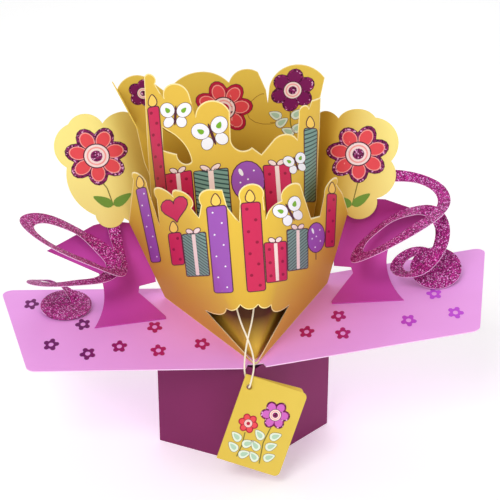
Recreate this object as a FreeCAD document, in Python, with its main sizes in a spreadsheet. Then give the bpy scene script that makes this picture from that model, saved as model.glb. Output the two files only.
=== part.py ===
import FreeCAD, Part
import math
import os
import Sketcher
from FreeCAD import Placement, Rotation, Vector

# A stand-up greeting card of folded and die-cut card, opened on a table.
# X runs to the right, Y away from the viewer and Z up; the shelf folds along Y.
# The pop-up stands on the two shelf halves and leans with them, so it is drawn
# in a frame of its own: origin at the shelf's fold, turned by the lean.

os.makedirs("parts", exist_ok=True)
doc = FreeCAD.newDocument("pop_up_card")

# Driving dimensions, millimetres and degrees
SIZES = {
    "card": 0.5,
    "seat_gap": 0.15,
    "origin_back": 14.7,
    "base_half_width": 42,
    "base_half_depth": 30.5,
    "base_height": 53,
    "base_turn": 7,
    "shelf_front_half": 103.5,
    "shelf_back_half": 124.5,
    "shelf_front": 30.5,
    "shelf_back": 51.5,
    "shelf_corner": 5,
    "shelf_notch_half": 5,
    "shelf_notch_deep": 3.5,
    "shelf_notch_taper": 1.5,
    "rise_left": 1,
    "rise_right": 9,
    "sheet_top": 135,
    "front_tip": 28,
    "front_half_angle": 30,
    "front_side_lean": 0.29,
    "front_bend": 0.364,
    "middle_tip": 24,
    "middle_half_angle": 28,
    "middle_side_lean": 0.176,
    "middle_bend": 0.464,
    "tip_bend": 0.8,
    "tall_crease": 44,
    "tall_lean": 0.055,
    "tall_spread": 0.2,
    "return_deep": 22,
    "return_turn": 10,
    "wing_face": 41,
    "wing_lean": 0.07,
    "bowl_inner_low": 18,
    "bowl_inner_high": 42.5,
    "bowl_outer_low": 30,
    "bowl_outer_high": 69,
    "bowl_deep_low": 8,
    "bowl_deep_high": 30,
    "bowl_bend_low": 7,
    "bowl_bend_high": 22,
    "wing_span": 112,
    "support_foot_out": 60,
    "support_foot_back": 14.15,
    "support_turn": 14,
    "support_bend": 33,
    "ribbon_end": 5.6,
    "ribbon_width": 7.8,
    "disc_radius": 12.5,
    "left_disc_tilt": 8,
    "right_disc_tilt": 28,
    "tag_width": 29.5,
    "tag_height": 41.5,
    "tag_corner": 2.5,
    "tag_hole": 1.3,
    "tag_lean": 16,
    "tag_slant": 20,
    "tag_opening": 13,
    "string": 0.8,
    "string_hole": 0.9,
}
sheet = doc.addObject("Spreadsheet::Sheet", "sizes")
for row, (alias, size) in enumerate(SIZES.items(), 1):
    sheet.set(f"A{row}", alias)
    sheet.set(f"B{row}", str(size))
    sheet.setAlias(f"B{row}", alias)
doc.recompute()


def val(alias):
    return float(sheet.get(alias))


card = val("card")
seat_gap = val("seat_gap")
shelf_top = val("base_height") + seat_gap + card
lean = (val("rise_right") - val("rise_left")) / 2
half_rise = (val("rise_right") + val("rise_left")) / 2
sheet_top = val("sheet_top")
FAR = 400
ARM_END = 60
VIEW_DOWN = 25
ABOUT_Y = Vector(0, 1, 0)
pop_up_frame = Placement(Vector(0, 0, shelf_top), Rotation(ABOUT_Y, -lean))
to_origin = Placement(Vector(0, -val("origin_back"), 0), Rotation())


def keep(name, shape, frame=Placement()):
    """Put a finished shape in the document under its own name."""
    piece = doc.addObject("Part::Feature", name)
    piece.Label = name
    piece.Shape = shape
    piece.Placement = to_origin.multiply(frame)
    return piece


# Folded sheets: a line with rounded folds, drawn low and high, with a ruled sheet between

def folded_line(corners, radii, shift):
    """Points and fold arcs of a line through the corners, moved sideways by shift."""
    runs = [(b - a).normalize() for a, b in zip(corners, corners[1:])]
    sides = [Vector(-run.y, run.x, 0) for run in runs]
    path = [corners[0] + sides[0] * shift]
    for i, radius in enumerate(radii):
        before, after = runs[i], runs[i + 1]
        turn = math.atan2(before.cross(after).z, before.dot(after))
        corner = corners[i + 1] + (sides[i] + sides[i + 1]) * (shift / (1 + math.cos(turn)))
        bend = radius - shift * math.copysign(1, turn)
        reach = bend * math.tan(abs(turn) / 2)
        inward = (sides[i] + sides[i + 1]).normalize() * math.copysign(1, turn)
        middle = corner + inward * (bend / math.cos(turn / 2) - bend)
        path += [corner - before * reach, middle, corner + after * reach]
    path.append(corners[-1] + sides[-1] * shift)
    return path


def path_edges(path):
    """Line, arc, line, arc ... line through a folded path."""
    edges = [Part.LineSegment(path[0], path[1]).toShape()]
    for i in range(1, len(path) - 1, 3):
        edges.append(Part.Arc(path[i], path[i + 1], path[i + 2]).toShape())
        edges.append(Part.LineSegment(path[i + 2], path[i + 3]).toShape())
    return edges


def sheet_section(corners, radii, height):
    """Closed outline of a folded sheet, one card thick, at one height."""
    flat = [Vector(x, y, height) for x, y in corners]
    back = folded_line(flat, radii, card / 2)
    front = folded_line(flat, radii, -card / 2)[::-1]
    edges = path_edges(back)
    edges.append(Part.LineSegment(back[-1], front[0]).toShape())
    edges += path_edges(front)
    edges.append(Part.LineSegment(front[-1], back[0]).toShape())
    return Part.Wire(edges)


def folded_sheet(low, high):
    return Part.makeLoft([sheet_section(*low), sheet_section(*high)], True, True)


# Die-cut outlines: (x, z) is a straight cut, (x, z, x, z) a round cut through the first pair

def outline_face(start, cuts, across, up):
    """Face of a die-cut outline, on the plane that the two directions span."""
    def at(x, z):
        return across * x + up * z
    edges = []
    here = at(*start)
    for cut in cuts:
        end = at(*cut[-2:])
        if len(cut) == 4:
            edges.append(Part.Arc(here, at(*cut[:2]), end).toShape())
        else:
            edges.append(Part.LineSegment(here, end).toShape())
        here = end
    edges.append(Part.LineSegment(here, at(*start)).toShape())
    return Part.Face(Part.Wire(edges))


def die_cutter(start, cuts, tilt=0):
    """Prism of an outline, along Y or tilted down towards the viewer."""
    along = Rotation(Vector(1, 0, 0), -tilt)
    face = outline_face(start, cuts, Vector(1, 0, 0), along.multVec(Vector(0, 0, 1)))
    through = along.multVec(Vector(0, FAR, 0))
    face.translate(through * -0.5)
    return face.extrude(through)


def block_behind(face_y, slope):
    """Everything behind a plane that leans back by slope."""
    corners = [(face_y - FAR * slope, -FAR), (FAR, -FAR), (FAR, FAR), (face_y + FAR * slope, FAR)]
    points = [Vector(-FAR, y, z) for y, z in corners]
    return Part.Face(Part.makePolygon(points + points[:1])).extrude(Vector(2 * FAR, 0, 0))


def room_above_shelf(gap):
    """Everything above the two rising shelf halves, in the pop-up's frame."""
    rim = FAR * math.tan(math.radians(half_rise)) + gap
    corners = [(-FAR, rim), (0, gap), (FAR, rim), (FAR, FAR), (-FAR, FAR)]
    points = [Vector(x, -FAR, z) for x, z in corners]
    return Part.Face(Part.makePolygon(points + points[:1])).extrude(Vector(0, 2 * FAR, 0))


above_shelf = room_above_shelf(seat_gap)


# Base: a strip folded into a four-sided tube, its last panel glued inside the first

def value(expression):
    return float(sheet.evalExpression(expression))


def bind(sketch, kind, edge, expression):
    index = sketch.addConstraint(Sketcher.Constraint(kind, edge, 1, value(expression)))
    sketch.setExpression(f"Constraints[{index}]", expression)


def bound_outline(sketch, corners):
    """Closed outline whose corners are bound to the sizes by their expressions."""
    first = sketch.GeometryCount
    points = [Vector(value(across), value(deep), 0) for across, deep in corners]
    for here, after in zip(points, points[1:] + points[:1]):
        sketch.addGeometry(Part.LineSegment(here, after), False)
    for i, (across, deep) in enumerate(corners):
        edge = first + i
        following = first + (i + 1) % len(corners)
        sketch.addConstraint(Sketcher.Constraint("Coincident", edge, 2, following, 1))
        bind(sketch, "DistanceX", edge, across)
        bind(sketch, "DistanceY", edge, deep)


def on_plane(body, name, role):
    """Empty sketch on one of the body's own origin planes."""
    sketch = body.newObject("Sketcher::SketchObject", name)
    plane = [f for f in body.Origin.OriginFeatures if f.Role == role][0]
    sketch.AttachmentSupport = [(plane, "")]
    sketch.MapMode = "FlatFace"
    return sketch


def pad(body, name, sketch, length):
    feature = body.newObject("PartDesign::Pad", name)
    feature.Profile = sketch
    feature.setExpression("Length", length)
    return feature


def rhombus(inset):
    """Corner expressions of the tube's rhombus, moved in by a number of card thicknesses."""
    half_width = "sizes.base_half_width"
    half_depth = "sizes.base_half_depth"
    side = f"sqrt({half_width}^2 + {half_depth}^2)"
    across = f"{half_width} - {inset} * sizes.card * {side} / {half_depth}"
    deep = f"{half_depth} - {inset} * sizes.card * {side} / {half_width}"
    return [("0", f"-({deep})"), (across, "0"), ("0", deep), (f"-({across})", "0")]


TUBE_TOP = "sizes.base_height + 1.2 * sizes.base_half_width * tan(sizes.rise_right * 1 deg)"
tube = doc.addObject("PartDesign::Body", "tube_strip")
tube_outline = on_plane(tube, "tube_outline", "XY_Plane")
bound_outline(tube_outline, rhombus(0))
bound_outline(tube_outline, rhombus(1))
pad(tube, "tube_pad", tube_outline, TUBE_TOP)

front_corner = Vector(0, -val("base_half_depth"), 0)
turned = Placement(Vector(), Rotation(Vector(0, 0, 1), val("base_turn")), front_corner)
tube.Placement = to_origin.multiply(turned)


def room_over_base():
    """Everything above the underside of the shelf, which trims the tube to its seat."""
    fold = val("base_height")
    left = fold + FAR * math.tan(math.radians(val("rise_left")))
    right = fold + FAR * math.tan(math.radians(val("rise_right")))
    corners = [(-FAR, left), (0, fold), (FAR, right), (FAR, FAR), (-FAR, FAR)]
    points = [Vector(x, -FAR, z) for x, z in corners]
    return Part.Face(Part.makePolygon(points + points[:1])).extrude(Vector(0, 2 * FAR, 0))


over_base = doc.addObject("Part::Feature", "over_base")
over_base.Shape = room_over_base()
base_tube = doc.addObject("Part::Cut", "base_tube")
base_tube.Label = "base_tube"
base_tube.Base = tube
base_tube.Tool = over_base


# Shelf: one trapezoid half each side of the fold, with round corners and a notch at the front

def shelf_half(side):
    front_half = val("shelf_front_half")
    back_half = val("shelf_back_half")
    front = -val("shelf_front")
    back = val("shelf_back")
    corners = [(0, front), (front_half, front), (back_half, back), (0, back)]
    points = [Vector(x, y, -card) for x, y in corners]
    half = Part.Face(Part.makePolygon(points + points[:1])).extrude(Vector(0, 0, card))
    outer = [e for e in half.Edges if e.Length < 2 * card and e.BoundBox.XMin > front_half / 2]
    half = half.makeFillet(val("shelf_corner"), outer)
    notch_half = val("shelf_notch_half")
    notch_deep = front + val("shelf_notch_deep")
    notch_end = notch_half - val("shelf_notch_taper")
    nick = [(-1, front - 1), (notch_half, front - 1), (notch_end, notch_deep), (-1, notch_deep)]
    points = [Vector(x, y, -2 * card) for x, y in nick]
    half = half.cut(Part.Face(Part.makePolygon(points + points[:1])).extrude(Vector(0, 0, 3 * card)))
    if side < 0:
        half = half.mirror(Vector(), Vector(1, 0, 0))
    half.rotate(Vector(), ABOUT_Y, -side * val("rise_right" if side > 0 else "rise_left"))
    return half


def shelf_fold():
    """The rounded crease that joins the two halves."""
    front = -val("shelf_front") + val("shelf_notch_deep")
    length = val("shelf_back") - front
    crease = Part.makeCylinder(card, length, Vector(0, front, 0), ABOUT_Y)
    below = Part.makeBox(2 * card, length, card, Vector(-card, front, -card))
    return crease.common(below)


shelf = shelf_half(1).fuse([shelf_half(-1), shelf_fold()]).removeSplitter()
keep("shelf", shelf, Placement(Vector(0, 0, shelf_top), Rotation()))


# Bowl: two rounded V-folds nested one in the other, each glued to the shelf along its arms

def v_fold(name, height):
    """Section of a V-fold whose point is at the front, for folded_sheet."""
    back_end = ARM_END
    spread = math.tan(math.radians(val(name + "_half_angle")))
    point = -val(name + "_tip") - val(name + "_side_lean") * height / spread
    arm = (back_end - point) * spread
    bend = val("tip_bend") + val(name + "_bend") * height
    return [(-arm, back_end), (0, point), (arm, back_end)], [bend], height


wing_front = val("wing_face") - card / 2 - seat_gap

# Front sheet: left edge, heart, gift, balloon, butterfly and candle tabs, right edge
FRONT_START = (-64, -5)
FRONT_CUTS = [
    (-58, 30),
    (-48.5, 79),
    (-45.5, 84.5, -42, 80),
    (-38.5, 57.5),
    (-38, 75),
    (-35, 83.5, -30, 82.5),
    (-26, 88.5, -22.5, 81),
    (-19.5, 77),
    (-18, 84),
    (-17, 91, -14, 92.5),
    (-8.5, 92.5),
    (-7, 84),
    (-2.5, 76.5),
    (-1.5, 87),
    (3.5, 94.5, 8.5, 87),
    (9, 76),
    (13, 82, 16.5, 83),
    (20, 89.5, 25.5, 86),
    (31, 60.5),
    (36, 56.5),
    (38.5, 68),
    (42, 73, 45.5, 67),
    (49.5, 57),
    (56, 30),
    (62, -5),
]
WINDOW_START = (-21, 16)
WINDOW_CUTS = [
    (-15.5, 19, -11, 28),
    (-8.5, 29, -4.8, 33.5),
    (-0.8, 31, 3.2, 33),
    (6.3, 29.8, 9, 30),
    (12, 21.5, 18.5, 17.5),
    (1.6, 1.2),
    (-1.6, 1.2),
]
front_sheet = folded_sheet(v_fold("front", 0), v_fold("front", sheet_top))
front_sheet = front_sheet.common(die_cutter(FRONT_START, FRONT_CUTS))
front_sheet = front_sheet.cut(die_cutter(WINDOW_START, WINDOW_CUTS))
front_sheet = front_sheet.cut(block_behind(wing_front, val("wing_lean")))
front_sheet = front_sheet.common(above_shelf)
keep("bowl_front", front_sheet, pop_up_frame)

# Middle sheet: tall candle, butterfly, balloon and two-pointed tabs, with one hole through
MIDDLE_START = (-25, -5)
MIDDLE_CUTS = [
    (-26, 10),
    (-42.5, 58),
    (-40.5, 95),
    (-38.5, 127),
    (-36.5, 129.3, -34, 125),
    (-30.5, 118.5),
    (-25.5, 126, -19, 121),
    (-17.3, 111.5),
    (-9.5, 118.8, -2, 113.5),
    (-2.6, 101.5),
    (1, 96.3, 6.5, 97),
    (10.5, 93.3),
    (17, 99),
    (22.5, 99.8, 27.5, 95.5),
    (29, 107),
    (31.5, 110, 34, 107.5),
    (35.5, 110.8),
    (40, 110.3),
    (38, 84),
    (36.5, 56.5),
    (26, 10),
    (25, -5),
]
GAP_START = (-32.5, 105.5)
GAP_CUTS = [(-33.2, 94), (-27, 93.8), (-22.5, 90, -20.7, 91.5), (-23, 98.5, -27.5, 103)]
middle_sheet = folded_sheet(v_fold("middle", 0), v_fold("middle", sheet_top))
middle_sheet = middle_sheet.common(die_cutter(MIDDLE_START, MIDDLE_CUTS))
middle_sheet = middle_sheet.cut(die_cutter(GAP_START, GAP_CUTS))
STRING_HOLES = [(-7, 30), (2, 30)]
for across, up in STRING_HOLES:
    middle_sheet = middle_sheet.cut(
        Part.makeCylinder(val("string_hole"), FAR, Vector(across, -FAR / 2, up), ABOUT_Y)
    )
middle_sheet = middle_sheet.common(above_shelf)
keep("bowl_middle", middle_sheet, pop_up_frame)


# Tall sheet: a shallow V with its fold at the back and a return panel on its left edge

def on_tall(x, z):
    """Point on the left half of the tall sheet's middle plane."""
    return Vector(x, val("tall_crease") + val("tall_lean") * z + val("tall_spread") * x, z)


def tall_section(height):
    reach = val("bowl_outer_high") + val("return_deep")
    side = on_tall(-reach, height).y
    crease = on_tall(0, height).y
    return [(-reach, side), (0, crease), (reach, side)], [1], height


TALL_START = (-25.5, -5)
TALL_CUTS = [
    (-26, 10),
    (-44, 78),
    (-46, 97),
    (-52.8, 115),
    (-47, 120.2, -39, 119),
    (-30, 110),
    (-14, 117.8, -0.2, 110.5),
    (5.5, 116.4, 13.8, 115.3),
    (17, 106.5),
    (17.4, 100),
    (18.6, 108),
    (30.5, 118.3, 44.7, 111.7),
    (42, 101.5),
    (40, 78),
    (26, 10),
    (25.5, -5),
]
RETURN_FOLD = [(-46.1, 97.5), (-52.7, 114.6)]
tall_sheet = folded_sheet(tall_section(0), tall_section(sheet_top))
tall_sheet = tall_sheet.common(die_cutter(TALL_START, TALL_CUTS))
tall_sheet = tall_sheet.common(above_shelf)


def return_panel():
    """Panel folded forward along the tall sheet's slanting left edge."""
    low, high = [on_tall(x, z) for x, z in RETURN_FOLD]
    edge = high - low
    turn = math.radians(val("return_turn"))
    forward = Vector(math.sin(turn), -math.cos(turn), 0) * val("return_deep")
    points = [low, high, low + edge * 1.4 + forward * 0.35, low + edge * 0.3 + forward]
    across = edge.cross(forward).normalize() * card
    panel = Part.Face(Part.makePolygon(points + points[:1])).extrude(across)
    panel.translate(across * -0.5)
    return panel


keep("bowl_tall", tall_sheet.fuse(return_panel()).removeSplitter(), pop_up_frame)


# Wing sheet: flat wings left and right, bent back between them into the bowl's rear wall

def wing_section(height):
    share = height / sheet_top

    def between(name):
        return val(name + "_low") + (val(name + "_high") - val(name + "_low")) * share
    face = val("wing_face") + val("wing_lean") * height
    inner = between("bowl_inner")
    outer = between("bowl_outer")
    rear = face + between("bowl_deep")
    span = val("wing_span")
    bend = between("bowl_bend")
    corners = [(-span, face), (-outer, face), (-inner, rear), (inner, rear), (outer, face), (span, face)]
    return corners, [bend] * 4, height


WING_START = (-31, -5)
WING_CUTS = [
    (-33, 8),
    (-50.5, 42.5),
    (-57, 47.8),
    (-64.5, 43.4, -70.8, 50.5),
    (-79.5, 59, -81.8, 76),
    (-86.6, 87, -78.5, 97.3),
    (-71, 101.8, -62.2, 96.2),
    (-55.5, 99.6, -47, 90.5),
    (-38, 90.5, -30, 84),
    (-20, 88, -10, 84),
    (0, 88, 10, 84),
    (20, 88, 30, 84),
    (37, 88.5, 43, 87.5),
    (47.5, 89.6, 51.5, 87.3),
    (60.5, 92.5, 69, 87.6),
    (78.6, 80, 75.8, 65),
    (77.5, 55, 68, 46.5),
    (62, 36.8, 53.5, 38.8),
    (49.5, 41.5),
    (33, 8),
    (31, -5),
]
wing_sheet = folded_sheet(wing_section(0), wing_section(sheet_top))
wing_sheet = wing_sheet.common(die_cutter(WING_START, WING_CUTS))
wing_sheet = wing_sheet.common(above_shelf)
keep("wing_sheet", wing_sheet, pop_up_frame)

# Supports: a foot glued flat on the shelf half, curving up to a flap behind each wing
SUPPORT_START = (41, -12)
SUPPORT_CUTS = [
    (41, 9),
    (49, 15.8, 54.5, 20.5),
    (54, 23.5),
    (45.8, 25.5),
    (47.5, 36),
    (50.5, 53),
    (66, 55.5, 76, 54),
    (99, 41.5),
    (74, 30),
    (71.5, 22, 76, 3),
    (76, -12),
]


def support(side):
    bend = val("support_bend")
    profile = sheet_section([(-1, 0), (bend, 0), (bend, sheet_top)], [bend], 0)
    blank = Part.Face(profile).extrude(Vector(0, 0, 2 * FAR))
    blank.translate(Vector(0, 0, -FAR))
    blank.rotate(Vector(), Vector(1, 1, 1), 120)
    blank.rotate(Vector(), Vector(0, 0, 1), -val("support_turn"))
    blank.translate(Vector(val("support_foot_out"), val("support_foot_back"), card / 2 + seat_gap))
    shape = blank.common(die_cutter(SUPPORT_START, SUPPORT_CUTS, VIEW_DOWN))
    if side < 0:
        shape = shape.mirror(Vector(), Vector(1, 0, 0))
    rise = val("rise_right" if side > 0 else "rise_left")
    hinge = Placement(Vector(0, 0, shelf_top), Rotation(ABOUT_Y, -side * rise))
    keep("right_support" if side > 0 else "left_support", shape, hinge)


support(-1)
support(1)


# Swirls: a paper spiral pulled open, from the back of a wing down to its disc on the shelf

def ribbon(turns, lift):
    """Strip through the places of every turn, widest halfway, pointing away from a moving hub."""
    narrow = val("ribbon_end") / 2
    wider = (val("ribbon_width") - val("ribbon_end")) / 2
    last = sum(len(places) for _, _, places in turns) - 1
    centres = []
    inner = []
    outer = []
    for hub_from, hub_to, places in turns:
        for i, place in enumerate(places):
            share = i / (len(places) - 1)
            hub = Vector(*hub_from) * (1 - share) + Vector(*hub_to) * share
            centre = Vector(*place)
            outward = (centre - hub).normalize()
            half = narrow + wider * math.sin(math.pi * len(centres) / last)
            centres.append(centre)
            inner.append(centre - outward * half)
            outer.append(centre + outward * half)
    lengths = [0.0]
    for before, after in zip(centres, centres[1:]):
        lengths.append(lengths[-1] + (after - before).Length)
    rails = []
    for points in (inner, outer):
        rail = Part.BSplineCurve()
        rail.interpolate(Points=points, Parameters=lengths)
        rails.append(rail)
    poles = [rail.getPoles() for rail in rails]
    times = rails[0].getMultiplicities()
    knots = rails[0].getKnots()
    strip = Part.BSplineSurface()
    strip.buildFromPolesMultsKnots(poles, [2, 2], times, [0, 1], knots, False, False, 1, rails[0].Degree)
    return strip.toShape().extrude(Vector(*lift).normalize() * card)


def swirl(name, turns, lift, disc_centre, disc_tilt):
    disc = Part.makeCylinder(val("disc_radius"), card)
    disc.rotate(Vector(), Vector(1, 0, 0), disc_tilt)
    disc.rotate(Vector(), ABOUT_Y, -math.copysign(half_rise, disc_centre[0]))
    disc.translate(Vector(*disc_centre))
    return keep(name, ribbon(turns, lift).fuse(disc), pop_up_frame)


def from_disc(disc, hub_from, hub_to, steps):
    """A ribbon's last turn, its hubs and places given from the centre of its disc."""
    def at(step):
        return tuple(a + b for a, b in zip(disc, step))
    return at(hub_from), at(hub_to), [at(step) for step in steps]


LEFT_DISC = (-89.5, 29.5, 10.3)
LEFT_TURNS = [
    ((-95, 45.2, 46), (-95, 44.6, 42), [(-63.3, 45.25, 47.5), (-62.8, 44.6, 42)]),
    ((-80, 24, 42), (-80, 24, 44), [
        (-61, 38, 33), (-60, 29, 29), (-62, 20, 30), (-70, 13, 37.5), (-83.5, 8.5, 48),
        (-95.5, 11.5, 56), (-101, 20, 59.5), (-97.5, 29, 58), (-87.5, 36, 51.5), (-77, 38, 43),
    ]),
    ((-82, 25, 33), (-85, 25, 24), [
        (-68, 35.5, 35), (-63.5, 28, 30.5), (-67.5, 18.5, 28.5), (-79, 13, 29.8),
        (-92, 13, 30), (-101.5, 20, 28.5), (-102, 30, 25), (-95.5, 36.5, 20),
    ]),
    from_disc(LEFT_DISC, (0, -2.5, 2.7), (0, 0, 0), [(1, 6.5, 4.2), (5, 2.5, -0.1)]),
]
swirl("left_swirl", LEFT_TURNS, (0.2, -0.5, 0.84), LEFT_DISC, val("left_disc_tilt"))

RIGHT_DISC = (93.5, 25, 14.6)
RIGHT_TURNS = [
    ((71, 46, 30), (80, 46, 30), [(71, 46.3, 57), (80, 46.2, 56.3)]),
    ((77, 25, 46), (77, 25, 40), [
        (91, 43.2, 54.3), (97.8, 37, 51.2), (98.5, 28.5, 48), (92.5, 19.5, 45.5), (81, 12, 42.5),
        (68.5, 8.5, 37.5), (58.5, 11.5, 31.5), (54.3, 19, 27.5), (57, 28, 28.5), (64.5, 34.1, 32.3),
        (74, 37, 37.5),
    ]),
    ((84, 26, 40), (84, 26, 21), [
        (84.5, 36.6, 41), (93, 34.6, 41), (97, 30, 37), (96.5, 23.5, 31), (91.5, 17.5, 24.5), (84, 16, 18.5),
    ]),
    from_disc(RIGHT_DISC, (-7.5, 2, 0.9), (-5.5, 1, 1.4), [
        (-17, -5, 0.9), (-19, 2, 0.9), (-15.5, 8.5, 2.7), (-8.5, 11, 4.7), (-1.5, 8, 4.2),
    ]),
]
swirl("right_swirl", RIGHT_TURNS, (-0.2, -0.5, 0.84), RIGHT_DISC, val("right_disc_tilt"))


# Gift tag: a small folded card that leans out in front of the base corner
TAG_HOLE = (2.9, 5.2)


def tag_leaf():
    width = val("tag_width")
    height = val("tag_height")
    leaf = Part.makeBox(width, card, height, Vector(0, 0, -height))
    outer = [e for e in leaf.Edges if e.Length < 2 * card and e.BoundBox.XMin > width / 2]
    leaf = leaf.makeFillet(val("tag_corner"), outer)
    across, down = TAG_HOLE
    hole = Part.makeCylinder(val("tag_hole"), 3 * card, Vector(across, -card, -down), ABOUT_Y)
    return leaf.cut(hole)


TAG_CORNER = (-4.3, -34, 52.4)
front_leaf = tag_leaf()
back_leaf = tag_leaf()
back_leaf.translate(Vector(0, card, 0))
back_leaf.rotate(Vector(0, card, 0), Vector(0, 0, 1), val("tag_opening"))
spine = Part.makeCylinder(card, val("tag_height"), Vector(0, card, -val("tag_height")))
tag = front_leaf.fuse([back_leaf, spine]).removeSplitter()
slant = Rotation(Vector(1, 0, 0), -val("tag_lean")).multiply(Rotation(ABOUT_Y, val("tag_slant")))
keep("gift_tag", tag, Placement(Vector(*TAG_CORNER), slant))


# String: from a hole in the middle sheet down to the tag, through it and back up

def cord(route, diameter):
    """Round cord along straight runs joined by tangent arcs."""
    points = [Vector(*place) for place in route]
    edges = []
    radii = []
    here = points[0]
    for before, corner, after in zip(points, points[1:], points[2:]):
        into = (corner - before).normalize()
        out = (after - corner).normalize()
        turn = into.getAngle(out)
        reach = 0.45 * min((corner - before).Length, (after - corner).Length)
        radius = reach / math.tan(turn / 2)
        radii.append(round(radius, 1))
        bulge = (out - into).normalize() * (radius / math.cos(turn / 2) - radius)
        edges.append(Part.LineSegment(here, corner - into * reach).toShape())
        here = corner + out * reach
        edges.append(Part.Arc(corner - into * reach, corner + bulge, here).toShape())
    edges.append(Part.LineSegment(here, points[-1]).toShape())
    path = Part.Wire(edges)
    start = Part.Circle(points[0], points[1] - points[0], diameter / 2).toShape()
    tube = path.makePipeShell([Part.Wire(start)], True, False)
    print("cord length", round(path.Length, 1), "bend radii", radii)
    print("cord volume over section times length", tube.Volume / (math.pi * diameter ** 2 / 4 * path.Length))
    return tube


STRING_ROUTE = [
    (-7, -11, 30.2), (-7, -18.6, 29.6), (-5.4, -20.9, 20), (-2.2, -24.6, 11), (-0.6, -28.4, 4.8),
    (-1, -32.3, 0.4), (-2.6, -36.4, -2.6), (-4, -38.2, -6.1), (-4.3, -31.6, -7.6), (-5.2, -31.3, -2.8),
    (-5.4, -31.9, 1.6), (-4.4, -28.2, 6.6), (-2.4, -23.6, 12.5), (0.4, -21.6, 20.5), (2, -20.2, 29.6),
    (2, -12.5, 30.2),
]
keep("tag_string", cord(STRING_ROUTE, val("string")), pop_up_frame)

# Every piece is checked before its file is written
NODES = [
    "base_tube", "shelf", "wing_sheet", "bowl_tall", "bowl_middle", "bowl_front",
    "left_support", "right_support", "left_swirl", "right_swirl", "gift_tag", "tag_string",
]
doc.recompute()
for obj in doc.Objects:
    if "Invalid" in obj.State or "Error" in obj.State:
        raise RuntimeError(f"{obj.Name} failed: {obj.State}")
for node in NODES:
    piece = doc.getObjectsByLabel(node)[0]
    shape = piece.Shape
    if shape.isNull() or not shape.isValid() or len(shape.Solids) != 1:
        raise RuntimeError(f"{node}: null {shape.isNull()}, solids {len(shape.Solids)}")
    box = shape.optimalBoundingBox()
    low = [round(v, 1) for v in (box.XMin, box.YMin, box.ZMin)]
    high = [round(v, 1) for v in (box.XMax, box.YMax, box.ZMax)]
    print(node, "volume", round(shape.Volume, 1), "from", low, "to", high)
    shape.exportStep(f"parts/{node}.step")
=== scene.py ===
# %% [markdown]
# # A stand-up pop up card
# A folded base tube carries a wide shelf. Nested die-cut panels, two glitter swirls
# and a hanging gift tag stand on it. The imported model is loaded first, and then each
# step adds paper colours, cut edges and printed shapes to it.

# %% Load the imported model
import math

import bmesh
import bpy
from mathutils import Matrix, Vector
from mathutils.bvhtree import BVHTree


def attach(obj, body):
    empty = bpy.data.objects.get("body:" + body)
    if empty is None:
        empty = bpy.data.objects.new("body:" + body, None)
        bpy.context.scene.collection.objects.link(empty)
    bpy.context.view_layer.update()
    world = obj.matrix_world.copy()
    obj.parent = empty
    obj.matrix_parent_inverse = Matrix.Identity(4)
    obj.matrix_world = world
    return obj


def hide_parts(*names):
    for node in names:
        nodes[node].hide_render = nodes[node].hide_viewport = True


MM = 0.001
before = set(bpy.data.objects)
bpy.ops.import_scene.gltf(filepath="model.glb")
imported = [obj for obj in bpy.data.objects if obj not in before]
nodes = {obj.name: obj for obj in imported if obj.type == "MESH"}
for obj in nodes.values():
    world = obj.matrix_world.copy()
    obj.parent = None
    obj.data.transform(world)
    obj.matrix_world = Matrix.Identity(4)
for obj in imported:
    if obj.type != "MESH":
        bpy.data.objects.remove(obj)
print("loaded", len(nodes), "nodes")

# %% [markdown]
# ## Shader maths
# A small wrapper lets a shader be written as plain arithmetic. Every result is a node
# socket, so `a * 2 + b` builds the nodes that work it out.

# %% Sockets that can be added and multiplied
class Socket:
    """A node output with arithmetic."""

    def __init__(self, paint, output):
        self.paint = paint
        self.output = output

    def maths(self, operation, *others):
        return self.paint.node("ShaderNodeMath", "Value", {"operation": operation}, [self, *others])

    def __add__(self, other):
        return self.maths("ADD", other)

    def __mul__(self, other):
        return self.maths("MULTIPLY", other)

    def between(self, low, high):
        """0 below low, 1 above high, even in between."""
        settings = {"clamp": True}
        return self.paint.node("ShaderNodeMapRange", "Result", settings, [self, low, high, 0.0, 1.0])


SHINE = 0.2
GRAIN_SCALE = 1800.0
GRAIN_DEPTH = 0.1


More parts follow.
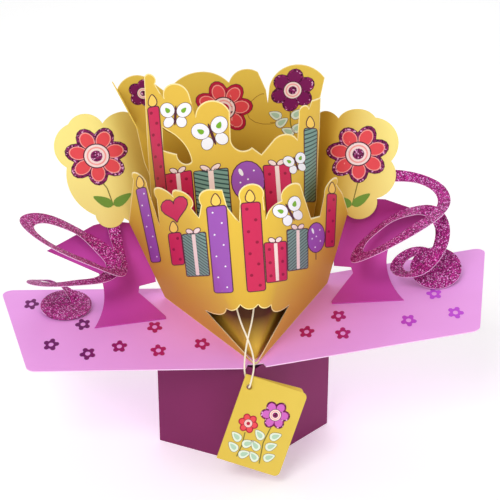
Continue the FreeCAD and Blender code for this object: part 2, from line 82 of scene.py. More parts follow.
class Paint:
    """A material whose surface is one Principled shader."""

    def __init__(self, name, rough=0.5):
        self.material = bpy.data.materials.new(name)
        self.material.use_nodes = True
        self.tree = self.material.node_tree
        self.surface = self.tree.nodes["Principled BSDF"]
        self.surface.inputs["Roughness"].default_value = rough
        self.surface.inputs["Specular IOR Level"].default_value = SHINE

    def node(self, kind, result, settings=None, values=()):
        """Add a node, set it up, feed its inputs in order and return one output."""
        node = self.tree.nodes.new(kind)
        for key, value in (settings or {}).items():
            setattr(node, key, value)
        for socket, value in zip([i for i in node.inputs if i.enabled], values):
            if isinstance(value, Socket):
                self.tree.links.new(value.output, socket)
            elif value is not None:
                socket.default_value = value
        return Socket(self, [o for o in node.outputs if o.name == result and o.enabled][0])

    def place(self):
        """The point on the object, in metres."""
        return self.node("ShaderNodeTexCoord", "Object")

    def along(self, axis):
        """Distance along one axis, in millimetres."""
        return self.node("ShaderNodeSeparateXYZ", axis, None, [self.place()]) * (1 / MM)

    def blend(self, share, first, second):
        settings = {"data_type": "RGBA", "clamp_factor": True}
        return self.node("ShaderNodeMix", "Result", settings, [share, first, second])

    def noise(self, scale, detail=2.0):
        settings = {"noise_dimensions": "3D"}
        return self.node("ShaderNodeTexNoise", "Fac", settings, [self.place(), scale, detail])

    def cells(self, scale):
        """A random colour for each small cell."""
        return self.node("ShaderNodeTexVoronoi", "Color", None, [self.place(), scale])

    def channel(self, name, colour):
        return self.node("ShaderNodeSeparateColor", name, None, [colour])

    def connect(self, name, value):
        self.tree.links.new(value.output, self.surface.inputs[name])

    def bump(self, height, strength, distance=0.0002):
        node = self.node("ShaderNodeBump", "Normal", None, [strength, distance])
        self.tree.links.new(height.output, node.output.node.inputs["Height"])
        self.connect("Normal", node)

    def grain(self):
        """Fine grain of uncoated card."""
        self.bump(self.noise(GRAIN_SCALE), GRAIN_DEPTH)


def rgb(red, green, blue):
    """Screen colour, 0 to 255, as the linear colour that a shader needs."""
    def linear(value):
        value /= 255
        return value / 12.92 if value < 0.04045 else ((value + 0.055) / 1.055) ** 2.4
    return (linear(red), linear(green), linear(blue), 1.0)


print("shader maths ready")

# %% [markdown]
# ## Card, foil and glitter
# Plain card has a faint cloudy tone and a fine grain. Glitter card is made of tiny cells,
# each with a tone of its own; a few cells are much brighter, as a painted glint.

# %% Card colours
def card_paint(name, colour, shade, rough=0.5):
    paint = Paint(name, rough)
    cloud = paint.noise(25.0, 3.0).between(0.3, 0.7)
    paint.connect("Base Color", paint.blend(cloud, shade, colour))
    paint.grain()
    return paint.material


plum = card_paint("plum_card", rgb(128, 38, 92), rgb(120, 34, 86))
pink = card_paint("pink_card", rgb(249, 172, 250), rgb(244, 165, 243))
tag_yellow = card_paint("tag_card", rgb(224, 194, 82), rgb(218, 186, 72))
cut_edge = card_paint("cut_edge", rgb(255, 246, 208), rgb(252, 240, 196))
pink_edge = card_paint("pink_edge", rgb(250, 214, 244), rgb(244, 200, 238))
string_paint = card_paint("cream_string", rgb(250, 240, 216), rgb(238, 226, 198), 0.8)
print("plain cards ready")


# %% Sheets with a fade in colour, some of it painted shade
CLOUD_SCALE = 18.0
CLOUD_DEPTH = 14


def uneven(paint, distance, low, high):
    """Share of the way from low to high, with a cloudy border."""
    cloudy = distance + paint.noise(CLOUD_SCALE) * CLOUD_DEPTH
    return cloudy.between(low + CLOUD_DEPTH / 2, high + CLOUD_DEPTH / 2)


def faded_card(name, low_colour, high_colour, low, high):
    """Card whose colour changes slowly with height."""
    paint = Paint(name)
    share = uneven(paint, paint.along("Z"), low, high)
    paint.connect("Base Color", paint.blend(share, low_colour, high_colour))
    paint.grain()
    return paint.material


def wing_card(name, inner_colour, outer_colour, inner, outer):
    """Card that gets paler from the bowl out to both wings: a printed fade, and painted shade on the
    inner part near the bowl.
    """
    paint = Paint(name)
    share = uneven(paint, paint.along("X").maths("ABSOLUTE"), inner, outer)
    paint.connect("Base Color", paint.blend(share, inner_colour, outer_colour))
    paint.grain()
    return paint.material


SHADE_STARTS = (60, 74)
SHADE_ENDS = (88, 104)


def painted_shade_card(name, foot_colour, shade, high_colour):
    """Card with painted shade: dark in a band between its foot and its upper part, where shade falls
    inside the bowl.
    """
    paint = Paint(name)
    height = paint.along("Z")
    low = paint.blend(height.between(*SHADE_STARTS), foot_colour, shade)
    paint.connect("Base Color", paint.blend(height.between(*SHADE_ENDS), low, high_colour))
    paint.grain()
    return paint.material


front_yellow = faded_card("yellow_card", rgb(214, 168, 56), rgb(230, 192, 68), 75, 140)
# The middle sheet's dark band is painted shade inside the bowl, behind the front sheet.
middle_yellow = painted_shade_card("middle_yellow_card", rgb(214, 172, 62), rgb(84, 42, 14), rgb(228, 188, 72))
tall_yellow = faded_card("deep_yellow_card", rgb(206, 160, 48), rgb(230, 196, 80), 120, 165)
# The wing card's darker inner part is partly painted shade near the bowl.
wing_yellow = wing_card("pale_yellow_card", rgb(212, 164, 50), rgb(250, 234, 138), 40, 70)
# The magenta card is darker towards its top: painted shade cast by the wings on the support flaps.
magenta = faded_card("magenta_card", rgb(204, 74, 176), rgb(158, 42, 120), 76, 98)
print("faded cards ready")


# %% Glitter card
def glitter(name, dark, bright, painted_glint, scale=2300.0):
    """Cells between two tones, a few of them much brighter as a painted glint."""
    paint = Paint(name)
    cells = paint.cells(scale)
    tone = paint.channel("Red", cells)
    body = paint.blend(tone.between(0.25, 0.8), dark, bright)
    glint_share = paint.channel("Blue", cells).between(0.86, 0.9)
    paint.connect("Base Color", paint.blend(glint_share, body, painted_glint))
    paint.bump(tone, 0.5, 0.0003)
    return paint.material


# The third colour of each glitter is its painted glint.
swirl_glitter = glitter("glitter_card", rgb(104, 12, 74), rgb(206, 50, 160), rgb(248, 176, 240))
plum_glitter = glitter("plum_glitter", rgb(78, 12, 56), rgb(150, 36, 104), rgb(232, 170, 214), 1500.0)
print("glitter ready")


# %% Shelf foil
LEFT_CHANGE = (-80, -50)
RIGHT_CHANGE = (40, 80)


def foil(name, left, middle, right):
    """Foil print that goes from one tone to the next across the card."""
    paint = Paint(name, 0.6)
    across = paint.along("X")
    first = paint.blend(across.between(*LEFT_CHANGE), left, middle)
    paint.connect("Base Color", paint.blend(across.between(*RIGHT_CHANGE), first, right))
    return paint.material


foil_paint = foil("shelf_foil", rgb(112, 14, 104), rgb(182, 26, 104), rgb(204, 76, 226))
print("foil ready")

# %% [markdown]
# ## Printing inks
# Most inks are one plain colour. The teal is striped, and one ink is glitter.

# %% Inks
INK_ROUGH = 0.45


def ink(name, colour):
    paint = Paint(name, INK_ROUGH)
    paint.surface.inputs["Base Color"].default_value = colour
    return paint.material


def striped_ink(name, ground, stripe, pitch, slope=0.08):
    """Ink with thin stripes that rise slowly to the side."""
    paint = Paint(name, INK_ROUGH)
    height = paint.along("Z") + paint.along("X") * slope
    share = height.maths("PINGPONG", pitch / 2).between(pitch * 0.12, pitch * 0.2)
    paint.connect("Base Color", paint.blend(share, stripe, ground))
    return paint.material


INKS = {
    "outline": ink("ink_outline", rgb(84, 36, 54)),
    "white": ink("ink_white", rgb(246, 244, 248)),
    "green": ink("ink_green", rgb(120, 176, 46)),
    "leaf": ink("ink_leaf", rgb(112, 152, 54)),
    "pale leaf": ink("ink_pale_leaf", rgb(176, 206, 178)),
    "mint": ink("ink_mint", rgb(226, 236, 214)),
    "coral": ink("ink_coral", rgb(230, 76, 82)),
    "rose": ink("ink_rose", rgb(246, 158, 150)),
    "red": ink("ink_red", rgb(186, 28, 60)),
    "flame": ink("ink_flame", rgb(250, 206, 96)),
    "stem": ink("ink_stem", rgb(120, 112, 48)),
    "line": ink("ink_line", rgb(150, 100, 44)),
    "plum": ink("ink_plum", rgb(122, 22, 88)),
    "lilac": ink("ink_lilac", rgb(208, 104, 190)),
    "cream": ink("ink_cream", rgb(248, 222, 216)),
    "glitter": plum_glitter,
    # The rim ink is a painted highlight along the cut edges.
    "rim": ink("ink_painted_highlight_rim", rgb(252, 230, 156)),
    "teal": striped_ink("ink_teal", rgb(122, 158, 146), rgb(48, 76, 74), 2.0),
    "purple": ink("ink_purple", rgb(158, 86, 180)),
    "pink": ink("ink_pink", rgb(206, 40, 86)),
    "dark red": ink("ink_dark_red", rgb(150, 16, 58)),
}
print(len(INKS), "inks ready")

# %% [markdown]
# ## Cut edges
# Card is white inside, so a cut shows as a thin pale line. A face belongs to a cut when
# it runs along the direction in which the knife went through.

# %% Colour each sheet and its cut edges
SMOOTH_ANGLE = math.radians(25)


def colour_sheet(name, paper, edge=None, knife=(0, 1, 0), limit=0.05):
    """Paint the card, and its cut faces with the edge colour."""
    sheet = nodes[name]
    mesh = sheet.data
    mesh.materials.clear()
    mesh.materials.append(paper)
    mesh.materials.append(edge or paper)
    knife = Vector(knife).normalized()
    cut = 0
    for face in mesh.polygons:
        face.material_index = int(abs(face.normal.dot(knife)) < limit)
        cut += face.material_index
        face.use_smooth = True
    bpy.context.view_layer.objects.active = sheet
    chosen = {"object": sheet, "selected_objects": [sheet], "selected_editable_objects": [sheet]}
    with bpy.context.temp_override(**chosen):
        bpy.ops.object.shade_smooth_by_angle(angle=SMOOTH_ANGLE)
    print(name, "faces", len(mesh.polygons), "cut faces", cut)


VIEW_DOWN = math.radians(25)
SEEN_WAY = (0, math.cos(VIEW_DOWN), -math.sin(VIEW_DOWN))
colour_sheet("base_tube", plum)
colour_sheet("shelf", pink, pink_edge, (0, 0, 1), 0.5)
colour_sheet("bowl_front", front_yellow, cut_edge)
colour_sheet("bowl_middle", middle_yellow, cut_edge)
colour_sheet("bowl_tall", tall_yellow, cut_edge)
colour_sheet("wing_sheet", wing_yellow, cut_edge)
for side in ("left", "right"):
    colour_sheet(side + "_support", magenta, pink_edge, SEEN_WAY, 0.03)
    pulled = (0.2 if side == "left" else -0.2, -0.5, 0.84)
    colour_sheet(side + "_swirl", swirl_glitter, pink_edge, pulled, 0.12)
colour_sheet("gift_tag", tag_yellow)

# %% [markdown]
# ## Printed shapes
# A shape is drawn flat, cut into small faces and laid on a sheet: every corner is dropped
# on the sheet from in front of it. A shape is a list of corners. All lengths are in
# millimetres, and a lift says how far the ink stands in front of the card.

# %% Frames of the sheets
SHELF_TOP = 53.65
ORIGIN_BACK = 14.7
REACH = 300
FACE_SIZE = 1.6
CUT_ROUNDS = 6
PULLS = (1, 0.99, 0.98, 0.96, 0.93, 0.9)
LINE_LIFT = 0.05
STEM_LIFT = 0.06
INK_LIFT = 0.08
GLOSS_LIFT = 0.11
DOT_LIFT = 0.12
RIBBON_LIFT = 0.14
SEEN_UP = Vector((0, math.sin(VIEW_DOWN), math.cos(VIEW_DOWN))) * math.cos(VIEW_DOWN)
LEAN = math.radians(4)
on_shelf = Matrix.Translation((0, -ORIGIN_BACK, SHELF_TOP))
pop_up = on_shelf @ Matrix.Rotation(-LEAN, 4, "Y")


class Sheet:
    """A card sheet that takes print, drawn flat and dropped on it along one direction."""

    def __init__(self, node, matrix, way, up):
        self.name = node
        self.matrix = matrix
        turn = matrix.to_3x3()
        self.way = turn @ Vector(way)
        self.right = turn @ Vector((1, 0, 0))
        self.up = turn @ Vector(up)
        source = nodes[node].data
        self.tree = BVHTree.FromPolygons(
            [v.co / MM for v in source.vertices],
            [p.vertices for p in source.polygons],
        )
        self.bm = bmesh.new()
        self.inks = []
        self.pulled = 0
        self.middle = (0, 0)
        self.anchor = matrix.translation

    def hit(self, start, way):
        """Place and normal where a ray meets the sheet, or None twice."""
        return self.tree.ray_cast(start - way * REACH, way)[:2]

    def aim(self, x, z):
        """Draw what follows around this point of an upright sheet."""
        turn = self.matrix.to_3x3()
        self.middle = (x, z)
        self.anchor = self.hit(self.matrix @ Vector((x, 0, z)), turn @ Vector((0, 1, 0)))[0]

    def drop(self, corner, lift):
        """Where a drawn corner lands; one that just misses the sheet is pulled in a little."""
        for pull in PULLS:
            across = (corner.x - self.middle[0]) * pull
            above = (corner.y - self.middle[1]) * pull
            start = self.anchor + self.right * across + self.up * above
            place, normal = self.hit(start, self.way)
            if place is not None:
                break
            self.pulled += 1
        else:
            raise RuntimeError(f"{self.name}: a shape around {self.middle} leaves the sheet")
        if normal.dot(self.way) > 0:
            normal = -normal
        return (place + normal * lift) * MM

    def index(self, name):
        if name not in self.inks:
            self.inks.append(name)
        return self.inks.index(name)

    def fill(self, name, corners, lift=INK_LIFT, step=FACE_SIZE):
        """Fill an outline with ink."""
        shape = bmesh.new()
        verts = [shape.verts.new((x, y, 0)) for x, y in corners]
        shape.faces.new(verts)
        self.settle(shape, name, lift, step)

    def band(self, name, outer, inner, lift=INK_LIFT, step=FACE_SIZE):
        """Fill the space between two outlines that have the same number of corners."""
        shape = bmesh.new()
        rims = [[shape.verts.new((x, y, 0)) for x, y in corners] for corners in (outer, inner)]
        ahead = [rim[1:] + rim[:1] for rim in rims]
        for a, b, c, d in zip(*rims, *ahead):
            shape.faces.new((a, b, d, c))
        self.settle(shape, name, lift, step)

    def settle(self, shape, name, lift, step):
        """Cut a flat shape into small faces and drop it on the sheet."""
        bmesh.ops.triangulate(shape, faces=shape.faces)
        for _ in range(CUT_ROUNDS):
            long = [edge for edge in shape.edges if edge.calc_length() > step]
            bmesh.ops.subdivide_edges(shape, edges=long, cuts=1)
            bmesh.ops.triangulate(shape, faces=shape.faces)
        for face in shape.faces:
            face.material_index = self.index(name)
        for vert in shape.verts:
            vert.co = self.drop(vert.co, lift)
        flake = bpy.data.meshes.new("flake")
        shape.to_mesh(flake)
        shape.free()
        self.bm.from_mesh(flake)
        bpy.data.meshes.remove(flake)

    def cut_edges(self):
        """Edges between a seen face and a cut, each with the face it belongs to."""
        mesh = nodes[self.name].data
        seen, cut = {}, set()
        for face in mesh.polygons:
            places = [mesh.vertices[i].co.to_tuple(7) for i in face.vertices]
            for pair in zip(places, places[1:] + places[:1]):
                edge = tuple(sorted(pair))
                if face.material_index:
                    cut.add(edge)
                elif face.normal.dot(self.way) < -0.1:
                    seen[edge] = face
        return {edge: face for edge, face in seen.items() if edge in cut and edge[0] != edge[1]}

    def rim(self, wide, lift=0.02):
        """Painted highlight: a pale line on the seen side, along every edge that a knife made, where
        the embossed rim catches the light.
        """
        lines = self.cut_edges()
        inward, outward = {}, {}
        for edge, face in lines.items():
            a, b = (Vector(end) for end in edge)
            side = face.normal.cross(b - a).normalized()
            if side.dot(face.center - a) < 0:
                side = -side
            for end in edge:
                inward[end] = inward.get(end, Vector()) + side
                outward[end] = outward.get(end, Vector()) + face.normal
        corners = {}
        for end, side in inward.items():
            near = Vector(end) + outward[end].normalized() * lift * MM
            far = near + side.normalized() * wide * MM
            corners[end] = (self.bm.verts.new(near), self.bm.verts.new(far))
        for a, b in lines:
            face = self.bm.faces.new((corners[a][0], corners[b][0], corners[b][1], corners[a][1]))
            face.material_index = self.index("rim")
        print(self.name, "rim pieces", len(lines))

    def finish(self):
        """Turn everything printed on the sheet into one thin object."""
        mesh = bpy.data.meshes.new(self.name + "_print")
        bmesh.ops.recalc_face_normals(self.bm, faces=self.bm.faces)
        self.bm.to_mesh(mesh)
        for name in self.inks:
            mesh.materials.append(INKS[name])
        for face in mesh.polygons:
            face.use_smooth = True
        piece = bpy.data.objects.new(mesh.name, mesh)
        bpy.context.scene.collection.objects.link(piece)
        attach(piece, "root")
        print(piece.name, "faces", len(mesh.polygons), "inks", len(self.inks), "pulled in", self.pulled)


print("sheets can be printed")

# %% [markdown]
# ## Drawing the outlines
# Circles, petals, bars and wings are all made from a few points around a centre.

# %% Outline helpers
def around(x, y, count, radius):
    """Corners of a circle."""
    angles = [math.tau * i / count for i in range(count)]
    return [(x + radius * math.cos(angle), y + radius * math.sin(angle)) for angle in angles]


def placed(x, y, turn, points):
    """Points turned by a number of degrees and moved to a place."""
    c, s = math.cos(math.radians(turn)), math.sin(math.radians(turn))
    return [(x + a * c - b * s, y + a * s + b * c) for a, b in points]


def oval(x, y, wide, high, turn=0.0, count=20):
    return placed(x, y, turn, [(a * wide / 2, b * high / 2) for a, b in around(0, 0, count, 1)])


def bar(x, low, high, wide, slope=0.0, curve=1.0):
    """Upright bar with rounded corners that may lean or taper."""
    half = wide / 2
    corners = []
    for dx, y, turn in ((half, high, 0), (-half, high, 90), (-half, low, 180), (half, low, 270)):
        inset_x = x + slope * (y - low) + math.copysign(half - curve, dx)
        inset_y = y - math.copysign(curve, y - (low + high) / 2)
        for part in range(4):
            angle = math.radians(turn + part * 30)
            corners.append((inset_x + curve * math.cos(angle), inset_y + curve * math.sin(angle)))
    return corners


def teardrop(x, y, wide, high, turn=0.0, count=16, pull=0.45):
    """Leaf or flame with its point at the top."""
    points = []
    for i in range(count):
        angle = math.tau * i / count - math.pi / 2
        narrowed = math.cos(angle) * (1 - pull * math.sin(angle))
        points.append((wide / 2 * narrowed, high / 2 * math.sin(angle)))
    return placed(x, y, turn, points)


def grown(corners, by):
    """The outline moved out by a distance."""
    area = sum(a[0] * b[1] - b[0] * a[1] for a, b in zip(corners, corners[1:] + corners[:1]))
    side = math.copysign(by, area)
    moved = []
    for before, here, after in zip(corners[-1:] + corners[:-1], corners, corners[1:] + corners[:1]):
        run = Vector((after[0] - before[0], after[1] - before[1])).normalized()
        moved.append((here[0] + run.y * side, here[1] - run.x * side))
    return moved


def heart_outline(x, y, size, turn=0.0, count=24):
    points = []
    for i in range(count):
        t = math.tau * (i + 0.5) / count
        a = 16 * math.sin(t) ** 3
        b = 13 * math.cos(t) - 5 * math.cos(2 * t) - 2 * math.cos(3 * t) - math.cos(4 * t)
        points.append((a * size / 32, b * size / 32))
    return placed(x, y, turn, points)


print("outlines ready")

# %% [markdown]
# ## Motifs
# Each motif is a few inks laid one over the other, with a dark line around it.

# %% Motif helpers
def outlined(sheet, name, corners, line=0.45, lift=INK_LIFT):
    sheet.band("outline", grown(corners, line), corners, lift)
    sheet.fill(name, corners, lift)


DOTS = {"purple": ("white", 0.42), "pink": ("dark red", 0.75)}


def dots(sheet, name, places):
    """Small round dots on an ink that has them."""
    if name in DOTS:
        colour, size = DOTS[name]
        for x, y in places:
            sheet.fill(colour, around(x, y, 8, size), DOT_LIFT)


def candle(sheet, name, x, low, high, wide, slope=0.0):
    """Candle with a flame and two staggered rows of dots."""
    def middle_at(y):
        return x + slope * (y - low)
    middle = (low + high) / 2
    sheet.aim(middle_at(middle), middle)
    outlined(sheet, name, bar(x, low, high, wide, slope))
    rows = int((high - low) / 5)
    heights = [low + (i + 0.5) * (high - low) / rows for i in range(rows)]
    dots(sheet, name, [(middle_at(y) + wide * 0.22 * (-1) ** i, y) for i, y in enumerate(heights)])
    outlined(sheet, "flame", teardrop(middle_at(high), high + 3.1, 3.4, 5.2))


def gift(sheet, name, x, low, wide, high):
    """Gift box with dots, a ribbon and a bow of two loops."""
    top = low + high
    sheet.aim(x, low + high / 2)
    outlined(sheet, name, bar(x, low, top, wide, 0, 0.6))
    places = [(side * 0.3, up) for up in (0.16, 0.5, 0.84) for side in (-1, 1)]
    dots(sheet, name, [(x + across * wide, low + up * high) for across, up in places])
    sheet.fill("cream", bar(x, low + 0.3, top - 0.3, wide * 0.16, 0, 0.2), RIBBON_LIFT)
    for side in (-1, 1):
        loop = oval(x + side * wide * 0.16, top + 1.2, wide * 0.3, 2.0, side * 30)
        outlined(sheet, "cream", loop, 0.35)


def balloon(sheet, name, x, y, wide, high, tail):
    sheet.aim(x, y)
    low = y - high / 2
    sheet.fill("outline", bar(x, low - tail, low + 0.5, 0.45, 0, 0.1), LINE_LIFT)
    outlined(sheet, name, oval(x, y, wide, high))
    places = [(0.2, 0.26), (-0.24, -0.02), (0.24, -0.12), (-0.06, -0.32), (0, 0.05)]
    dots(sheet, name, [(x + across * wide, y + up * high) for across, up in places])
    sheet.fill("white", oval(x - wide * 0.2, y + high * 0.24, wide * 0.12, high * 0.2, 20), GLOSS_LIFT)


def heart(sheet, name, x, y, size, turn=0.0):
    sheet.aim(x, y)
    outlined(sheet, name, heart_outline(x, y, size, turn))


def butterfly(sheet, x, y, size, turn=0.0):
    """Four white wings with green spots around a dark body, over any other print."""
    sheet.aim(x, y)
    wing_line = 0.22
    for side in (-1, 1):
        centres = [(side * 0.4 * size, -0.42 * size), (side * 0.52 * size, 0.36 * size)]
        low, high = placed(x, y, turn, centres)
        low_wing = oval(*low, size * 0.62, size * 0.72, turn + side * 28)
        high_wing = oval(*high, size * 0.86, size * 0.98, turn - side * 38)
        outlined(sheet, "white", low_wing, wing_line, 0.13)
        outlined(sheet, "white", high_wing, wing_line, 0.15)
        sheet.fill("green", teardrop(*high, size * 0.26, size * 0.4, turn - side * 40), 0.18)
    sheet.fill("outline", oval(x, y, size * 0.16, size * 1.3, turn), 0.2)


PETAL_REACH = 0.62
PETAL_LONG = 0.86
PETAL_WIDE = 4.59
PETAL_LAYERS = ((1.0, 0.08), (0.74, 0.1), (0.64, 0.12))


def petal_ring(sheet, colour, x, y, radius, petals, share, turn, lift):
    """Round petals around a centre, shrunk to a share of their size."""
    size = radius * share
    for i in range(petals):
        angle = turn + math.tau * i / petals
        reach = radius * PETAL_REACH
        at = (x + reach * math.cos(angle), y + reach * math.sin(angle))
        wide = size * PETAL_WIDE / petals
        sheet.fill(colour, oval(*at, size * PETAL_LONG, wide, math.degrees(angle), 14), lift)


def rosette(sheet, x, y, radius, petals, colours, turn=0.0):
    """Round-petalled flower drawn from the outside in."""
    petal_ring(sheet, "outline", x, y, radius, petals, 1.06, turn, LINE_LIFT)
    for (share, lift), colour in zip(PETAL_LAYERS, colours):
        petal_ring(sheet, colour, x, y, radius, petals, share, turn, lift)
    for share, colour, lift in (
        (0.45, "outline", 0.15), (0.41, "cream", 0.17), (0.33, "rose", 0.19),
        (0.28, "cream", 0.21), (0.2, colours[0], 0.23),
    ):
        sheet.fill(colour, around(x, y, 24, radius * share), lift)


def stem(sheet, points, wide=0.5, name="stem"):
    """Thin line through a few points."""
    for a, b in zip(points, points[1:]):
        run = Vector((b[0] - a[0], b[1] - a[1]))
        side = Vector((-run.y, run.x)).normalized() * (wide / 2)
        ends = ((a, side), (b, side), (b, -side), (a, -side))
        sheet.fill(name, [(end[0] + out.x, end[1] + out.y) for end, out in ends], STEM_LIFT)


print("motifs ready")

# %% [markdown]
# ## Print the front sheet
# A row of candles, gifts, balloons and a heart follows the cut tabs.

# %% Front row
front = Sheet("bowl_front", pop_up, SEEN_WAY, SEEN_UP)
front.rim(0.5)
candle(front, "purple", -43.2, 33, 71, 5, -0.055)
heart(front, "pink", -30, 75.5, 12.5, 4)
candle(front, "pink", -31.6, 40, 56, 6)
gift(front, "teal", -22.6, 42, 10.5, 21)
candle(front, "purple", -11.6, 41, 82.4, 8)
candle(front, "pink", 2.9, 42, 84, 7.8)
gift(front, "pink", 12.6, 43, 9.6, 19)
butterfly(front, 19.9, 75.6, 7, 25)
gift(front, "teal", 23.6, 39, 10.6, 20)
balloon(front, "purple", 33.8, 45, 10, 15, 4)
candle(front, "pink", 42.2, 33, 60, 5.4, 0.02)
front.finish()

# %% [markdown]
# ## Print the middle sheet
# The second row is taller, with the same inks in another order.

# %% Middle row
middle = Sheet("bowl_middle", pop_up, SEEN_WAY, SEEN_UP)
middle.rim(0.5)
candle(middle, "pink", -36.6, 61, 113, 4.9, 0.016)
gift(middle, "pink", -27.4, 63, 12, 22)
butterfly(middle, -26, 111.8, 7.2, -8)
butterfly(middle, -10.6, 104.2, 8.4, 14)
gift(middle, "teal", -12.6, 66, 15, 23)
balloon(middle, "purple", 3.6, 82.5, 14.5, 19, 18)
gift(middle, "pink", 17, 62, 12, 26)
butterfly(middle, 26, 85, 5.6, 15)
candle(middle, "teal", 32.6, 62, 97.5, 6.2, 0.045)
middle.finish()

# %% [markdown]
# ## Flowers on the tall sheet and the wings

# %% Tall sheet
tall = Sheet("bowl_tall", pop_up, SEEN_WAY, SEEN_UP)
tall.rim(0.3)
tall.aim(0, 100)
rosette(tall, -3.8, 98, 13.2, 7, ("red", "rose", "coral"))
rosette(tall, 29.5, 103.5, 10, 6, ("glitter", "plum"), 0.3)
rosette(tall, -41, 108, 6.5, 5, ("glitter", "plum"), 0.1)
for x, y, turn in ((20.5, 92, 60), (23.5, 88, -60), (31, 91.5, -55), (26, 83, 60), (31, 84.5, -60)):
    outlined(tall, "mint", teardrop(x, y, 4, 6.4, turn), 0.2)
    tall.fill("pale leaf", teardrop(x, y, 2.2, 4.2, turn), 0.1)
stem(tall, [(27.8, 94), (27.4, 88), (28.6, 78)])
for x, y, size in ((12.6, 103, 3.2), (-30, 101, 2.6)):
    curl = []
    for i in range(14):
        angle = 0.55 * i
        wide = size * (1 + 0.12 * i)
        curl.append((x + wide * math.cos(angle), y - 1.3 * i + size * math.sin(angle)))
    stem(tall, curl, 0.25, "line")
tall.finish()

# %% Wings
wings = Sheet("wing_sheet", pop_up, SEEN_WAY, SEEN_UP)
for x, y, foot_x, foot_y in ((-66.8, 80.6, -61.5, 54), (59.8, 70.2, 55.5, 43)):
    wings.aim(x, y)
    stem(wings, [(x, y - 12), ((x + foot_x) / 2 + 0.6, (y + foot_y) / 2 - 4), (foot_x, foot_y)])
    rosette(wings, x, y, 14.4, 7, ("glitter", "rose", "coral"), 0.2)
    for side in (-1, 1):
        wings.fill("leaf", teardrop(foot_x + side * 4.8, foot_y + 2.8, 4.6, 10.5, -side * 58))
wings.finish()

# %% [markdown]
# ## Foil flowers on the shelf
# Small five-lobed rings lie on both halves of the shelf.

# %% Shelf flowers
# Each row is a side, the rise of that half in degrees, and the flowers' middles.
FOIL_FLOWERS = [
    (-1, 1, [
        (-107.7, 35.7), (-81, 13.7), (-94.8, -6), (-77.2, -15.1),
        (-62.8, -8.7), (-46.4, 10), (-44.5, -13.1), (-24.1, -7.3),
    ]),
    (1, 9, [(26, -5.2), (42.6, 5.1), (42.5, -12.4), (74, -10.6), (90.3, 11), (96.3, -10.7)]),
]
FOIL_STRETCH = 1.55
FOIL_STEP = 3.0
INKS["foil"] = foil_paint


def foil_flower(sheet, x, y, turn):
    """Ring with five round lobes, drawn longer towards the back."""
    def stretched(corners):
        return [(a, y + (b - y) * FOIL_STRETCH) for a, b in corners]
    outer, inner = (stretched(around(x, y, 30, radius)) for radius in (2.5, 1.2))
    sheet.band("foil", outer, inner, 0.1, FOIL_STEP)
    for i in range(5):
        angle = turn + math.tau * i / 5
        lobe = around(x + 2.6 * math.cos(angle), y + 2.6 * math.sin(angle), 12, 1.2)
        sheet.fill("foil", stretched(lobe), INK_LIFT, FOIL_STEP)


for side, rise, places in FOIL_FLOWERS:
    half = on_shelf @ Matrix.Rotation(math.radians(-side * rise), 4, "Y")
    shelf = Sheet("shelf", half, (0, 0, -1), (0, 1, 0))
    for i, (x, y) in enumerate(places):
        foil_flower(shelf, x, y, 0.7 * i)
    shelf.finish()

# %% [markdown]
# ## Gift tag and string
# The tag carries two small flowers and a few leaves. The string runs from the middle
# sheet down through the tag and back, so it is drawn as one smooth curve.

# %% Tag print
tag_place = Matrix.Translation((0, -ORIGIN_BACK, 0)) @ Matrix.Translation((-4.3, -34, 52.4))
tag_turn = Matrix.Rotation(math.radians(-16), 4, "X") @ Matrix.Rotation(math.radians(20), 4, "Y")
tag = Sheet("gift_tag", tag_place @ tag_turn, (0, 1, 0), (0, 0, 1))
rosette(tag, 18.5, -14, 6.4, 6, ("glitter", "lilac"), 0.2)
rosette(tag, 8, -21.5, 4.4, 6, ("red", "coral"))
stem(tag, [(18.5, -20), (17.5, -28), (19, -38)])
stem(tag, [(8, -26), (8.6, -32), (8, -38)])
TAG_LEAVES = [
    (22, -23.5, -55), (14.6, -25, 55), (21.6, -28.6, -55), (14.4, -30.4, 55), (22.4, -33.8, -55),
    (15.4, -35.6, 55), (4.8, -29, 60), (11, -30.6, -60), (4.9, -34, 60), (11, -35.8, -60),
]
for x, y, turn in TAG_LEAVES:
    outlined(tag, "mint", teardrop(x, y, 3.6, 5.6, turn), 0.15)
    tag.fill("pale leaf", teardrop(x, y, 1.9, 3.6, turn), 0.1)
tag.finish()

# %% String
STRING = [
    (-7, -11, 30.2), (-7, -18.6, 29.6), (-5.4, -20.9, 20), (-2.2, -24.6, 11), (-0.6, -28.4, 4.8),
    (-1, -32.3, 0.4), (-2.6, -36.4, -2.6), (-4, -38.2, -6.1), (-4.3, -31.6, -7.6), (-5.2, -31.3, -2.8),
    (-5.4, -31.9, 1.6), (-4.4, -28.2, 6.6), (-2.4, -23.6, 12.5), (0.4, -21.6, 20.5), (2, -20.2, 29.6),
    (2, -12.5, 30.2),
]
curve = bpy.data.curves.new("tag_string_thread", "CURVE")
curve.dimensions = "3D"
curve.bevel_depth = 0.4 * MM
curve.bevel_resolution = 3
curve.resolution_u = 12
curve.use_fill_caps = True
spline = curve.splines.new("NURBS")
spline.points.add(len(STRING) - 1)
for point, place in zip(spline.points, STRING):
    point.co = ((pop_up @ Vector(place)) * MM).to_4d()
spline.order_u = 3
spline.use_endpoint_u = True
curve.materials.append(string_paint)
string = bpy.data.objects.new("tag_string_thread", curve)
bpy.context.scene.collection.objects.link(string)
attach(string, "root")
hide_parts("tag_string")
print("string laid through", len(STRING), "points")

# %% [markdown]
# ## Table, light and camera
# A pale floor, soft lamps and a white background keep the colours clear.

# %% Floor and background
bpy.ops.mesh.primitive_plane_add(size=6)
floor = bpy.context.object
floor.name = "floor"
floor_paint = Paint("floor", 0.6)
floor_paint.surface.inputs["Base Color"].default_value = (0.95, 0.95, 0.95, 1)
floor_paint.surface.inputs["Emission Color"].default_value = (1, 1, 1, 1)
floor_paint.surface.inputs["Emission Strength"].default_value = 0.25
floor.data.materials.append(floor_paint.material)

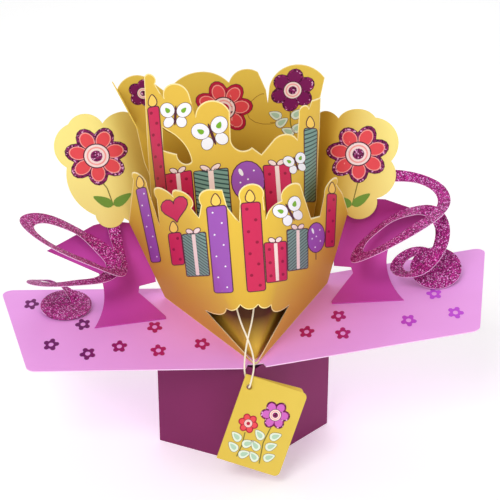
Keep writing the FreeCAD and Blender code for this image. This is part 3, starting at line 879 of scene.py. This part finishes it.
world = bpy.data.worlds.new("studio")
bpy.context.scene.world = world
world.use_nodes = True
tree = world.node_tree
light = tree.nodes["Background"]
light.inputs["Color"].default_value = (1, 1, 1, 1)
light.inputs["Strength"].default_value = 0.5
white = tree.nodes.new("ShaderNodeBackground")
white.inputs["Color"].default_value = (1, 1, 1, 1)
white.inputs["Strength"].default_value = 1.0
rays = tree.nodes.new("ShaderNodeLightPath")


def either(first, second):
    """1 where one of two sockets is 1."""
    node = tree.nodes.new("ShaderNodeMath")
    node.operation = "MAXIMUM"
    tree.links.new(first, node.inputs[0])
    tree.links.new(second, node.inputs[1])
    return node.outputs[0]


straight = either(rays.outputs["Is Camera Ray"], rays.outputs["Is Transmission Ray"])
mix = tree.nodes.new("ShaderNodeMixShader")
tree.links.new(either(straight, rays.outputs["Is Glossy Ray"]), mix.inputs["Fac"])
tree.links.new(light.outputs[0], mix.inputs[1])
tree.links.new(white.outputs[0], mix.inputs[2])
tree.links.new(mix.outputs[0], tree.nodes["World Output"].inputs["Surface"])
print("floor and background ready")


# %% Lamps
def lamp(name, place, size, power, target=(0, 0, 0.09)):
    data = bpy.data.lights.new(name, "AREA")
    data.size = size
    data.energy = power
    piece = bpy.data.objects.new(name, data)
    piece.location = place
    piece.rotation_euler = (Vector(target) - Vector(place)).to_track_quat("-Z", "Y").to_euler()
    bpy.context.scene.collection.objects.link(piece)


lamp("key", (-0.4, -0.75, 0.9), 0.5, 5.5)
lamp("fill", (0.7, -0.85, 0.5), 0.8, 2.4)
lamp("back", (0.1, 0.8, 0.8), 0.8, 2)
print("lamps ready")

# %% Camera
AZIMUTH = math.radians(-3.45)
DISTANCE = 0.6
target = Vector((-0.0009, -ORIGIN_BACK * MM, 0.0989))
level = Vector((math.sin(AZIMUTH), -math.cos(AZIMUTH), 0)) * math.cos(VIEW_DOWN)
back = level + Vector((0, 0, math.sin(VIEW_DOWN)))
camera_data = bpy.data.cameras.new("camera")
camera_data.lens = 93.3
camera_data.sensor_width = 36
camera = bpy.data.objects.new("camera", camera_data)
camera.location = target + back * DISTANCE
camera.rotation_euler = (-back).to_track_quat("-Z", "Y").to_euler()
bpy.context.scene.collection.objects.link(camera)
bpy.context.scene.camera = camera
bpy.context.scene.view_settings.view_transform = "Standard"
print("camera at", tuple(round(v, 4) for v in camera.location))
